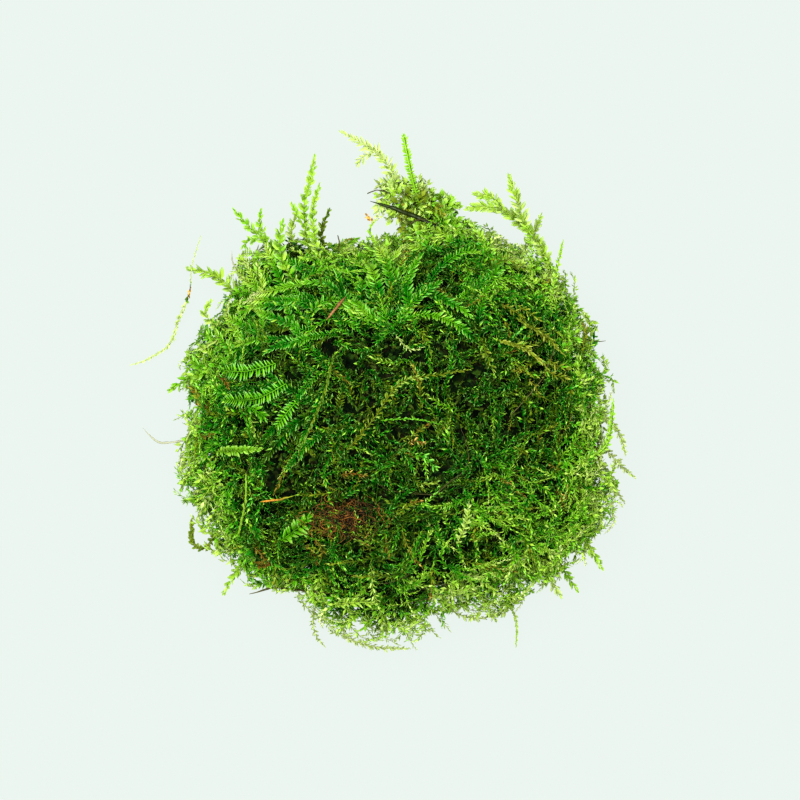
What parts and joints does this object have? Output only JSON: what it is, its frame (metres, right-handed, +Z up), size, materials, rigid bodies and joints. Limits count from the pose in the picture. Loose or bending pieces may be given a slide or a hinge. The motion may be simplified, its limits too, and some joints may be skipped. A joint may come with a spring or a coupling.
{
  "type": "moss clump",
  "caption": "Domed clump of tangled feathery moss with loose leafy shoots round its edge, old stems and scraps on top, resting on a flat underside.",
  "frame": {"origin": "middle of the clump's bounding box, on the surface it rests on", "axes": "+Z up; +X to the right and +Y to the top of the clump as it is seen from straight above"},
  "size_m": [0.0789, 0.0796, 0.0322],
  "materials": {
    "dense_moss": "satin",
    "bright_shoots": "satin",
    "pale_shoots": "satin",
    "olive_shoots": "satin",
    "rhizoids_and_twig": "matte",
    "dry_straw": "matte",
    "old_stems": "matte"
  },
  "bodies": {
    "root": {"moss_mass": "dense_moss", "rhizoid_tangle": "rhizoids_and_twig", "left_wire": "old_stems", "left_upper_sprig": "olive_shoots", "top_left_tip": "pale_shoots", "left_shoulder_shoot": "pale_shoots", "far_left_strand": "pale_shoots", "left_hair": "old_stems", "upper_left_sprig": "bright_shoots", "short_broad_shoot": "bright_shoots", "short_pale_shoot": "pale_shoots", "tall_sprig": "bright_shoots", "second_tall_sprig": "bright_shoots", "third_tall_sprig": "olive_shoots", "orange_bud_sprig": "dry_straw", "top_dark_stem": "old_stems", "pale_top_frond": "pale_shoots", "upright_top_shoot": "bright_shoots", "top_arc_shoot": "bright_shoots", "arching_shoot": "bright_shoots", "upright_right_frond": "bright_shoots", "right_shoulder_sprig": "pale_shoots", "right_shoulder_stem": "pale_shoots", "right_shoot": "bright_shoots", "right_strand": "pale_shoots", "right_low_strand": "pale_shoots", "right_drop_strand": "pale_shoots", "lower_right_sprig_1": "bright_shoots", "lower_right_sprig_2": "bright_shoots", "lower_right_sprig_3": "pale_shoots", "lower_right_stem": "pale_shoots", "lower_right_arc": "pale_shoots", "bottom_arc": "pale_shoots", "bottom_left_strand": "pale_shoots", "lower_left_sprig": "bright_shoots", "left_curl": "pale_shoots", "comb_frond_1": "bright_shoots", "comb_frond_2": "bright_shoots", "comb_frond_3": "bright_shoots", "arched_pale_shoot": "pale_shoots", "middle_light_shoot": "pale_shoots", "bright_sprig": "bright_shoots", "pale_yellow_tuft": "pale_shoots", "brown_twig": "rhizoids_and_twig", "orange_straw": "dry_straw", "olive_stem": "olive_shoots", "light_stem": "pale_shoots", "yellow_brown_stem_1": "dry_straw", "yellow_brown_stem_2": "dry_straw"}
  },
  "joints": []
}
